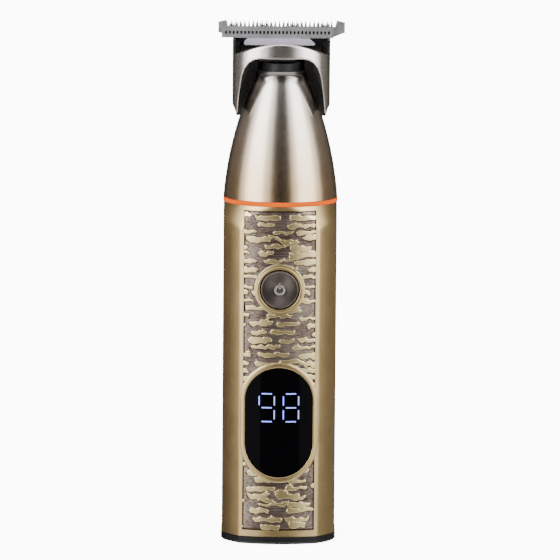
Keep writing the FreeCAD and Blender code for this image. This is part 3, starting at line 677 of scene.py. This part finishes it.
def relief_brass() -> bpy.types.Material:
    """Cast brass: dark mauve wash left in the ground, tops polished back to pale brass, painted shade
    at the walls.
    """
    material = bpy.data.materials.new("brass_cast_antiqued")
    material.use_nodes = True
    tree = material.node_tree
    tree.nodes.clear()
    place = add_node(tree, "TexCoord").outputs["Object"]
    height = add_node(tree, "Attribute", attribute_name="relief").outputs["Fac"]
    lines = add_node(tree, "Mapping", {"Vector": place}, Scale=(120.0, 3000.0, 3000.0)).outputs[0]
    streak = add_node(tree, "TexNoise", {"Vector": lines}, Scale=1.0, Detail=2.0).outputs[0]
    cloud = add_node(tree, "TexNoise", {"Vector": place}, Scale=110.0, Detail=3.0).outputs[0]
    wash = add_node(tree, "Math", {0: streak, 1: cloud}, operation="ADD").outputs[0]
    wash = add_node(tree, "MapRange", {"Value": wash}, From_Min=0.75, From_Max=1.25).outputs[0]
    ground = ramp(tree, wash, [(0.0, "4f443e"), (0.55, "756860"), (1.0, "9a8c80")])
    spread = add_node(tree, "MapRange", {"Value": cloud}, From_Min=0.3, From_Max=0.7, To_Min=-0.06,
                      To_Max=0.06).outputs[0]
    level = add_node(tree, "Math", {0: height, 1: spread}, operation="ADD").outputs[0]
    # painted shade: darkest at the walls' feet, a dark outline round each raised shape; the pale top
    # is the polish
    raised = ramp(tree, level, [(0.0, "3c3029"), (0.45, "32271f"), (0.72, "8f7a52"),
                                (0.92, "dcc893")])
    share = add_node(tree, "MapRange", {"Value": height}, From_Min=0.03, From_Max=0.22).outputs[0]
    colour = add_node(tree, "MixRGB", {"Fac": share, "Color1": ground, "Color2": raised}).outputs[0]
    rough = add_node(tree, "MapRange", {"Value": level}, To_Min=0.42, To_Max=0.30).outputs[0]
    shader = add_node(tree, "BsdfPrincipled", {"Base Color": colour, "Roughness": rough},
                      Metallic=1.0)
    bumps = add_node(tree, "Bump", {"Height": streak}, Strength=0.10, Distance=0.1 * MM).outputs[0]
    tree.links.new(bumps, shader.inputs["Normal"])
    add_node(tree, "OutputMaterial", {"Surface": shader.outputs[0]})
    return material


@dataclass
class BodyShell:
    """The brushed brass tube, with the panel's recess sunk, not cut, into its front face."""
    low: float = 2.5 * MM
    top: float = 106.7 * MM
    recess_half: float = 11.25 * MM
    recess_low: float = 4.5 * MM
    recess_top: float = 105.4 * MM
    recess_depth: float = 1.2 * MM
    wall: float = 1.45 * MM

    def build(self) -> None:
        """Make the shell as a closed tube: outer skin, rims and a plain inner skin."""
        edge = 0.02 * MM
        heights = np.concatenate([
            [self.low, self.low + 0.15 * MM], [self.recess_low - edge, self.recess_low],
            np.linspace(self.recess_low + 2 * MM, 93 * MM, 24), np.linspace(94 * MM, 105 * MM, 56),
            [self.recess_top, self.recess_top + edge], np.linspace(105.6 * MM, self.top, 6)])
        front_x = np.concatenate([[-12.1 * MM, -11.7 * MM, -self.recess_half - edge,
                                   -self.recess_half],
                                  np.linspace(-11.0 * MM, 11.0 * MM, 31),
                                  [self.recess_half, self.recess_half + edge, 11.7 * MM,
                                   12.1 * MM]])
        z, x = np.meshgrid(heights, front_x, indexing="ij")
        front = FORM.at_width(x, z)
        sunk = (np.abs(x) <= self.recess_half + 1e-9) & (z >= self.recess_low - 1e-9) \
            & (z <= self.recess_top + 1e-9)
        start = np.arctan2(x[:, -1:], front[:, -1:])
        share = np.linspace(0, 1, 122)[1:-1][None, :]
        angle = start + (math.pi - 2 * start) * share
        tall = np.broadcast_to(heights[:, None], angle.shape)
        reach = FORM.reach(angle, tall)
        side_x, side_y = reach * np.sin(angle), -reach * np.cos(angle)
        ring_x = np.concatenate([x, side_x, -x, -side_x], 1)
        ring_y = np.concatenate([-(front - self.recess_depth * sunk), side_y, front, -side_y], 1)
        ring_z = np.broadcast_to(heights[:, None], ring_x.shape)
        outer = np.stack([ring_x, ring_y, ring_z], -1)
        flat = outer[[0, -1]].copy()
        scale = 1 - (self.wall + 1.2 * MM) / np.hypot(flat[..., 0], flat[..., 1])
        inner = flat * np.stack([scale, scale, np.ones_like(scale)], -1)
        stack = np.concatenate([outer, inner[1:2], inner[0:1]])
        count = ring_x.shape[1]
        faces = grid_faces(len(stack), count, True)
        closing = grid_faces(2, count, True)
        closing = np.where(closing < count, closing + (len(stack) - 1) * count, closing - count)
        piece = mesh_piece("body_skin", stack.reshape(-1, 3), np.concatenate([faces, closing]),
                           ANTIQUE_BRASS)
        sharpen(piece, 40)
        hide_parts("body_shell")
        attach(piece, "handle")


def sharpen(piece: bpy.types.Object, angle: float) -> None:
    """Keep edges sharper than an angle in degrees crisp while the rest shades smoothly."""
    piece.data.set_sharp_from_angle(angle=math.radians(angle))


# ---- ring, neck, window and button ----------------------------------------------------

@dataclass
class NeckAndRing:
    """The turned nickel neck and its orange ring; the dark collar at its tip stays a CAD node."""
    foot: tuple[float, float] = (17.95 * MM, 108.1 * MM)
    shoulder: tuple[float, float] = (8.4 * MM, 145.5 * MM)
    tip: tuple[float, float] = (7.2 * MM, 148.0 * MM)
    curve: float = 112.0 * MM
    shoulder_round: float = 3.2 * MM
    ring_low: float = 106.7 * MM
    bore: float = 4.65 * MM
    ceiling: float = 135.4 * MM
    room_top: float = 11.3 * MM
    room_foot: float = 13.8 * MM
    steps: int = 192

    @staticmethod
    def arc(start: tuple, end: tuple, radius: float, count: int) -> list[tuple[float, float]]:
        """Points on an arc of a radius that bows outwards from start to end, ends left out."""
        a, b = np.array(start), np.array(end)
        chord = b - a
        inwards = np.array([-chord[1], chord[0]]) / np.hypot(*chord)
        centre = (a + b) / 2 + inwards * math.sqrt(radius ** 2 - chord @ chord / 4)
        first, last = (math.atan2(*(p - centre)[::-1]) for p in (a, b))
        angles = np.linspace(first, last, count + 2)[1:-1]
        return [(centre[0] + radius * math.cos(t), centre[1] + radius * math.sin(t))
                for t in angles]

    def build(self) -> None:
        """Turn the neck and the ring."""
        r, z = self.foot
        tip_r, tip_z = self.tip
        side = [(r - 0.12 * MM, z), (r - 0.01 * MM, z + 0.12 * MM)]
        side += self.arc(side[-1], self.shoulder, self.curve, 40)
        profile = side + [self.shoulder]
        profile += self.arc(self.shoulder, self.tip, self.shoulder_round, 8)
        profile += [
            (tip_r, tip_z - 0.06 * MM), (tip_r - 0.1 * MM, tip_z),
            (self.bore, tip_z), (self.bore, self.ceiling), (self.room_top, self.ceiling),
            (self.room_top, self.ceiling - MM), (self.room_foot, z)]
        points, faces = lathe(profile, self.steps)
        neck = mesh_piece("neck_skin", points, faces, NICKEL_NECK)
        sharpen(neck, 35)
        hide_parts("neck_cone")
        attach(neck, "handle")
        low, round_edge = self.ring_low, 0.22 * MM
        ring_profile = [(16.0 * MM, low + 0.01 * MM), (r - round_edge, low + 0.01 * MM),
                        (r - 0.06 * MM, low + 0.07 * MM), (r, low + round_edge),
                        (r, z - round_edge), (r - 0.06 * MM, z - 0.07 * MM),
                        (r - round_edge, z - 0.01 * MM), (16.0 * MM, z - 0.01 * MM)]
        points, faces = lathe(ring_profile, self.steps)
        ring = mesh_piece("orange_ring", points, faces, ORANGE_ABS)
        sharpen(ring, 50)
        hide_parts("accent_ring")
        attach(ring, "handle")


def along_y(points: Grid, height: float) -> Grid:
    """Lay a lathe-turned form on its side: its axis +Z becomes the front, -Y, at a height."""
    return np.stack([points[:, 0], -points[:, 2], points[:, 1] + height], -1)


@dataclass
class PowerButton:
    """The round dished button, its engraved power sign and the brass trim ring round it."""
    radius: float = 5.82 * MM
    rest: float = 18.2 * MM
    back: float = 13.4 * MM
    dish: float = 0.55 * MM
    ring_inner: float = 6.3 * MM
    ring_outer: float = 7.15 * MM
    ring_proud: float = 17.95 * MM
    sign_radius: float = 1.35 * MM
    sign_line: float = 0.17 * MM

    def face(self, radius: Grid) -> Grid:
        """Height of the dished face: a shallow cone with a rounded foot and a raised lip."""
        share = radius / self.radius
        dish = self.dish * (1 - soft_step(share, 0.10, 0.95))
        return self.rest - dish - 0.28 * MM * soft_step(share, 0.955, 1.0)

    def sign(self, x: Grid, z: Grid) -> Grid:
        """Depth share of a plain power sign: an open ring with a bar through its gap."""
        distance = np.abs(np.hypot(x, z) - self.sign_radius)
        gap = (z > 0) & (np.abs(x) < 0.55 * MM)
        distance = np.where(gap, np.hypot(np.abs(x) - 0.55 * MM, distance) + 0.1 * MM, distance)
        bar = np.hypot(x, z - np.clip(z, 0.5 * MM, 2.0 * MM))
        return 1 - soft_step(np.minimum(distance, bar), self.sign_line, self.sign_line + 0.12 * MM)

    def build(self) -> None:
        """Make the cap as a polar grid, and the trim as a lathe ring."""
        rings = np.concatenate([[0.02 * MM], np.linspace(0.1 * MM, 2.4 * MM, 48),
                                np.linspace(2.6 * MM, 5.6 * MM, 16),
                                np.linspace(5.65 * MM, self.radius, 8)])
        turn = np.linspace(0, 2 * math.pi, 180, endpoint=False)
        r, t = np.meshgrid(rings, turn, indexing="ij")
        top = self.face(r) - 0.07 * MM * self.sign(r * np.cos(t), r * np.sin(t))
        rows = [np.stack([r * np.cos(t), r * np.sin(t), top], -1)]
        for radius, height in ((self.radius, self.back), (0.02 * MM, self.back)):
            rows.append(np.stack([radius * np.cos(turn), radius * np.sin(turn),
                                  np.full(turn.shape, height)], -1)[None])
        stack = np.concatenate(rows)
        faces = grid_faces(len(stack), len(turn), True)
        count = stack.shape[0] * stack.shape[1]
        points = np.concatenate([stack.reshape(-1, 3), [[0, 0, stack[0, 0, 2]]],
                                 [[0, 0, self.back]]])
        step = np.arange(len(turn))
        after = (step + 1) % len(turn)
        last = (len(stack) - 1) * len(turn)
        caps = [np.stack([np.full(step.shape, count), after, step], -1),
                np.stack([np.full(step.shape, count + 1), last + step, last + after], -1)]
        mesh = bpy.data.meshes.new("power_button_cap")
        mesh.from_pydata(along_y(points, BUTTON_HEIGHT).tolist(), [],
                         faces.tolist() + caps[0].tolist() + caps[1].tolist())
        mesh.shade_smooth()
        paint = np.zeros(len(points), np.float32)
        # painted highlight: a lighter ring round the lip stands in for the glint along its edge
        lip = np.clip(1 - np.abs(r / self.radius - 0.965) / 0.02, 0, 1)
        paint[:r.size] = np.maximum(self.sign(r * np.cos(t), r * np.sin(t)), 0.8 * lip).ravel()
        mesh.attributes.new("mark_and_highlight", "FLOAT", "POINT").data.foreach_set("value", paint)
        mesh.materials.append(GUNMETAL.build())
        cap = bpy.data.objects.new("power_button_cap", mesh)
        bpy.context.scene.collection.objects.link(cap)
        fix_normals(cap)
        sharpen(cap, 40)
        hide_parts("power_button")
        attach(cap, "power_button")
        inner, outer, high, base = self.ring_inner, self.ring_outer, self.ring_proud, 16.9 * MM
        profile = [(inner, base), (outer, base), (outer, high - 0.22 * MM),
                   (outer - 0.10 * MM, high - 0.05 * MM), (outer - 0.25 * MM, high),
                   (inner + 0.20 * MM, high), (inner + 0.05 * MM, high - 0.06 * MM),
                   (inner, high - 0.2 * MM)]
        points, faces = lathe(profile, 144)
        trim = mesh_piece("button_trim", along_y(points, BUTTON_HEIGHT), faces, ANTIQUE_BRASS)
        fix_normals(trim)
        sharpen(trim, 50)
        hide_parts("button_ring")
        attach(trim, "handle")


def fix_normals(piece: bpy.types.Object) -> None:
    """Turn every face of a closed mesh outwards."""
    shape = bmesh.new()
    shape.from_mesh(piece.data)
    bmesh.ops.recalc_face_normals(shape, faces=shape.faces)
    shape.to_mesh(piece.data)
    shape.free()


@dataclass
class DisplayWindow:
    """The smoked pill lens, following the bowed face, with a rounded brass rim."""
    centre: float = 38.7 * MM
    straight: float = 13.4 * MM
    radius: float = 10.62 * MM
    thick: float = 1.3 * MM
    rim_out: float = 12.15 * MM

    def spine(self, count: int) -> tuple[Grid, Grid]:
        """Directions and straight shift of an upright pill's outline, anticlockwise."""
        turn = np.linspace(-math.pi / 2, 1.5 * math.pi, count, endpoint=False)
        shift = np.where(np.sin(turn) >= 0, self.straight / 2, -self.straight / 2)
        return turn, shift

    def rings(self, radii: Grid, insets: Grid, count: int) -> Grid:
        """Rows of points on the face, at each distance from the pill's spine and each inset."""
        turn, shift = self.spine(count)
        x = radii[:, None] * np.cos(turn)
        z = self.centre + shift + radii[:, None] * np.sin(turn)
        y = -(FORM.at_width(x, z) - insets[:, None])
        return np.stack([x, y, z], -1)

    def build(self) -> None:
        """Make the lens, and the rim that frames it."""
        count = 240
        radii = np.concatenate([np.linspace(0.3, 0.985, 14) * self.radius,
                                [self.radius - 0.06 * MM, self.radius, self.radius,
                                 0.3 * self.radius]])
        insets = np.concatenate([np.full(14, 0.14 * MM), [0.15 * MM, 0.22 * MM, self.thick,
                                                          self.thick]])
        rows = self.rings(radii, insets, count)
        faces = grid_faces(len(rows), count, True)
        points = rows.reshape(-1, 3)
        lens = mesh_piece("smoked_lens", points, faces, SMOKED_ACRYLIC)
        cap_loops(lens, [np.arange(count), (len(rows) - 1) * count + np.arange(count)])
        fix_normals(lens)
        sharpen(lens, 40)
        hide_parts("display_window")
        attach(lens, "handle")
        width = self.rim_out - self.radius
        share = np.array([0, 0, 0.04, 0.12, 0.25, 0.5, 0.75, 0.9, 1.0, 1.0])
        lift = np.array([-1.0, -0.18, -0.03, 0.06, 0.09, 0.10, 0.09, 0.05, -0.05, -0.25]) * MM
        rows = self.rings(self.radius + 0.03 * MM + share * width, -lift, count)
        closed = np.concatenate([rows, rows[:1]])
        faces = grid_faces(len(closed), count, True) % (len(rows) * count)
        rim = mesh_piece("window_rim", rows.reshape(-1, 3), faces, ANTIQUE_BRASS)
        fix_normals(rim)
        sharpen(rim, 60)
        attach(rim, "handle")


def cap_loops(piece: bpy.types.Object, loops: list[Grid]) -> None:
    """Close loops of points with one fan each, round a new point at the loop's middle."""
    shape = bmesh.new()
    shape.from_mesh(piece.data)
    shape.verts.ensure_lookup_table()
    rings = [[shape.verts[i] for i in loop] for loop in loops]
    for ring in rings:
        middle = shape.verts.new(sum((v.co for v in ring), Vector()) / len(ring))
        for a, b in zip(ring, ring[1:] + ring[:1]):
            shape.faces.new((middle, a, b))
    shape.to_mesh(piece.data)
    shape.free()
    piece.data.shade_smooth()


# ---- head -----------------------------------------------------------------------------

@dataclass
class HeadHood:
    """The arched nickel hood: a bowed shell between an arch below and a crown above."""
    half_width: float = 14.98 * MM
    bow: float = 11.9 * MM
    back: float = 2.52 * MM
    fullness: float = 2.2
    low: float = 133.4 * MM
    lean: float = 0.0087
    side_wall: float = 0.3
    crown_top: float = 157.25 * MM
    crown_radius: float = 30.0 * MM
    arch: tuple = ((0, 152.6), (6.8, 152.6), (8.9, 152.1), (10.5, 151.0), (11.6, 149.4),
                   (12.3, 147.6), (12.7, 146.0), (13.1, 143.4), (13.5, 140.6), (13.75, 137.0),
                   (14.0, 134.6), (15.0, 136.9))

    def spot(self, angle: Grid, height: Grid, inset: Grid) -> tuple[Grid, Grid]:
        """A point of the plan: a superellipse, drawn in with height and by the inset.

        Args:
            angle: Direction in the plan, from -90 degrees, left, to 90, right.
            height: Height in metres.
            inset: Distance inwards from the outer skin.

        Returns:
            x and y.
        """
        draw_in = (height - self.low) * self.lean + inset
        power = 2 / self.fullness
        reach = self.half_width - draw_in + inset * (1 - self.side_wall)
        x = reach * np.sign(np.sin(angle)) * np.abs(np.sin(angle)) ** power
        y = -self.back - (self.bow - draw_in) * np.abs(np.cos(angle)) ** power
        return x, y

    def build(self) -> None:
        """Make the hood: its cross-section loop is carried from the left edge to the right."""
        angle = np.linspace(-math.pi / 2, math.pi / 2, 241)
        span = np.abs(self.half_width * np.sin(angle)) ** (2 / self.fullness) \
            * self.half_width ** (1 - 2 / self.fullness) / MM
        arch_x, arch_z = np.array(self.arch, float).T
        bottom = np.interp(span, arch_x, arch_z) * MM
        kernel = np.ones(5) / 5
        bottom = np.convolve(np.pad(bottom, 2, "edge"), kernel, "valid")
        top = self.crown_top - self.crown_radius + np.sqrt(self.crown_radius ** 2
                                                           - (span * MM) ** 2)
        fall, inset = [], []
        for z_share, z_shift, depth in (
                (0, 0.00, 0.34), (0, 0.05, 0.14), (0, 0.16, 0.03), (0, 0.34, 0), (0.2, 0, 0),
                (0.4, 0, 0), (0.6, 0, 0), (0.8, 0, 0), (1, -0.80, 0), (1, -0.45, 0.06),
                (1, -0.20, 0.20), (1, -0.05, 0.42), (1, 0, 0.66), (1, -0.04, 1.0),
                (1, -0.3, 1.05), (0.5, 0, 1.05), (0, 0.2, 1.05), (0, 0.02, 0.9)):
            fall.append(bottom + (top - bottom) * z_share + z_shift * MM)
            inset.append(np.full(angle.shape, depth * MM))
        height, inset = np.array(fall), np.array(inset)
        x, y = self.spot(angle[None, :], height, inset)
        loop = np.stack([x, y, height], -1)
        rows, columns = loop.shape[:2]
        faces = grid_faces(rows + 1, columns, False) % (rows * columns)
        piece = mesh_piece("hood_skin", loop.reshape(-1, 3), faces, NICKEL_HOOD)
        cap_loops(piece, [np.arange(rows) * columns, np.arange(rows) * columns + columns - 1])
        fix_normals(piece)
        sharpen(piece, 60)
        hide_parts("head_hood")
        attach(piece, "blade_head")


# ---- studio ---------------------------------------------------------------------------

@dataclass
class Studio:
    """Pale floor, soft lights, dark cards that draw the metal's dark bands, and the camera."""
    middle: Vector = field(default_factory=lambda: Vector((0.0, 0.0, 0.0815)))
    elevation: float = 7.5
    roll: float = 0.43
    distance: float = 1.96
    lens: float = 400.0
    shift_x: float = 0.0004
    air: float = 2.2
    wall_radius: float = 0.9
    skyline: float = 0.015
    paper_glow: float = 9.0

    def wall(self, name: str, start: float, end: float, low: float, high: float,
             shade: str, glow: float) -> None:
        """Stand a curved plain card round the object; only reflections show it.

        Args:
            name: The card's name.
            start: Direction of its left edge in degrees: 0 is the front, 90 is +X.
            end: Direction of its right edge in degrees.
            low: Height of its lower edge in metres.
            high: Height of its upper edge in metres.
            shade: Hex colour.
            glow: Light that it gives, as a strength.
        """
        turn = np.radians(np.linspace(start, end, 13))
        x, y = np.sin(turn) * self.wall_radius, -np.cos(turn) * self.wall_radius
        points = np.stack([np.stack([x, y, np.full(13, z)], -1) for z in (low, high)])
        mesh = bpy.data.meshes.new(name)
        mesh.from_pydata(points.reshape(-1, 3).tolist(), [], grid_faces(2, 13, False).tolist())
        material = bpy.data.materials.new(name)
        material.use_nodes = True
        material.node_tree.nodes.clear()
        light = add_node(material.node_tree, "Emission", Color=linear(shade), Strength=glow)
        add_node(material.node_tree, "OutputMaterial", {"Surface": light.outputs[0]})
        mesh.materials.append(material)
        card = bpy.data.objects.new(name, mesh)
        bpy.context.scene.collection.objects.link(card)
        card.visible_camera = False
        card.visible_shadow = False
        card.visible_diffuse = False

    def floor(self) -> None:
        """Lay the pale floor under the base cap."""
        mesh = bpy.data.meshes.new("floor")
        reach, gap = 6.0, 0.05 * MM
        mesh.from_pydata([(-reach, -reach, -gap), (reach, -reach, -gap), (reach, reach, -gap),
                          (-reach, reach, -gap)], [], [(0, 1, 2, 3)])
        material = bpy.data.materials.new("floor_paper")
        material.use_nodes = True
        shader = material.node_tree.nodes["Principled BSDF"]
        shader.inputs["Base Color"].default_value = linear("f8f8f8")
        shader.inputs["Roughness"].default_value = 0.9
        shader.inputs["Specular IOR Level"].default_value = 0.1
        shader.inputs["Emission Color"].default_value = linear("ffffff")
        shader.inputs["Emission Strength"].default_value = self.paper_glow
        mesh.materials.append(material)
        floor = bpy.data.objects.new("floor", mesh)
        bpy.context.scene.collection.objects.link(floor)
        floor.visible_glossy = False
        floor.visible_diffuse = False

    def lamp(self, name: str, azimuth: float, height: float, away: float,
             size: tuple[float, float], power: float, upright: bool = True) -> None:
        """Hang a soft box that faces the object.

        Args:
            name: The lamp's name.
            azimuth: Direction from the object in degrees.
            height: Height in metres.
            away: Level distance in metres.
            size: Width and height in metres.
            power: Power in watts.
            upright: Whether it faces level, not towards the object's middle.
        """
        data = bpy.data.lights.new(name, "AREA")
        data.shape = "RECTANGLE"
        data.size, data.size_y = size
        data.energy = power
        lamp = bpy.data.objects.new(name, data)
        turn = math.radians(azimuth)
        lamp.location = (math.sin(turn) * away, -math.cos(turn) * away, height)
        aim = Vector((0, 0, height if upright else self.middle.z))
        lamp.rotation_euler = (aim - lamp.location).to_track_quat("-Z", "Y").to_euler()
        lamp.visible_glossy = upright
        bpy.context.scene.collection.objects.link(lamp)

    def build(self) -> None:
        """Set the world, the floor, the lights, the cards and the camera."""
        world = bpy.data.worlds.new("studio_air")
        world.use_nodes = True
        world.node_tree.nodes["Background"].inputs[0].default_value = linear("ffffff")
        world.node_tree.nodes["Background"].inputs[1].default_value = self.air
        bpy.context.scene.world = world
        self.floor()
        self.lamp("key_left", -56, 0.48, 0.8, (0.55, 0.9), 9)
        self.lamp("key_right", 56, 0.48, 0.8, (0.55, 0.9), 7.5)
        self.lamp("top", 0, 1.1, 0.35, (0.7, 0.5), 5, upright=False)
        split = self.skyline
        for name, start, end, low, high, shade, glow in (
                ("front_upper", -21, 24, split, 1.3, "3a3129", 0.10),
                ("front_lower", -21, 24, -1.0, split, "d8d0c4", 0.40),
                ("left_upper", -138, -90, split, 1.4, "8c8680", 0.75),
                ("right_upper", 90, 138, split, 1.4, "8c8680", 0.75),
                ("left_far", -179, -138, split, 1.4, "8c8680", 0.26),
                ("right_far", 138, 179, split, 1.4, "8c8680", 0.30),
                ("left_pale", -60, -21, -1.0, split, "ffffff", 1.5),
                ("right_pale", 24, 60, -1.0, split, "ffffff", 1.3),
                ("left_lower", -104, -60, -1.0, split, "8c8680", 1.15),
                ("left_dark", -179, -104, -1.0, split, "8c8680", 0.40),
                ("right_lower", 60, 179, -1.0, split, "8c8680", 0.95)):
            self.wall(name, start, end, low, high, shade, glow)
        data = bpy.data.cameras.new("camera")
        data.lens = self.lens
        data.shift_x = self.shift_x
        camera = bpy.data.objects.new("camera", data)
        tilt = math.radians(self.elevation)
        camera.location = self.middle + Vector((0, -math.cos(tilt), math.sin(tilt))) * self.distance
        look = (self.middle - camera.location).to_track_quat("-Z", "Y").to_matrix().to_4x4()
        spin = Matrix.Rotation(math.radians(self.roll), 4, "Z")
        camera.matrix_world = Matrix.Translation(camera.location) @ look @ spin
        bpy.context.scene.collection.objects.link(camera)
        bpy.context.scene.camera = camera


def dress_nodes(frame: dict) -> None:
    """Give every CAD node its real material."""
    for finish, names in NODE_FINISHES.items():
        for name in names:
            node = frame["nodes"][name]
            node.data.materials.clear()
            node.data.materials.append(finish.build())


def main() -> None:
    """Load the frame, dress it, add the skins and set the studio."""
    logging.basicConfig(level=logging.INFO)
    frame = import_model()
    Studio().build()
    dress_nodes(frame)
    for part in (BodyShell(), FrontPanel(), NeckAndRing(), PowerButton(), DisplayWindow(),
                 HeadHood()):
        part.build()
        LOG.info("built %s", type(part).__name__)


if __name__ == "__main__":
    main()
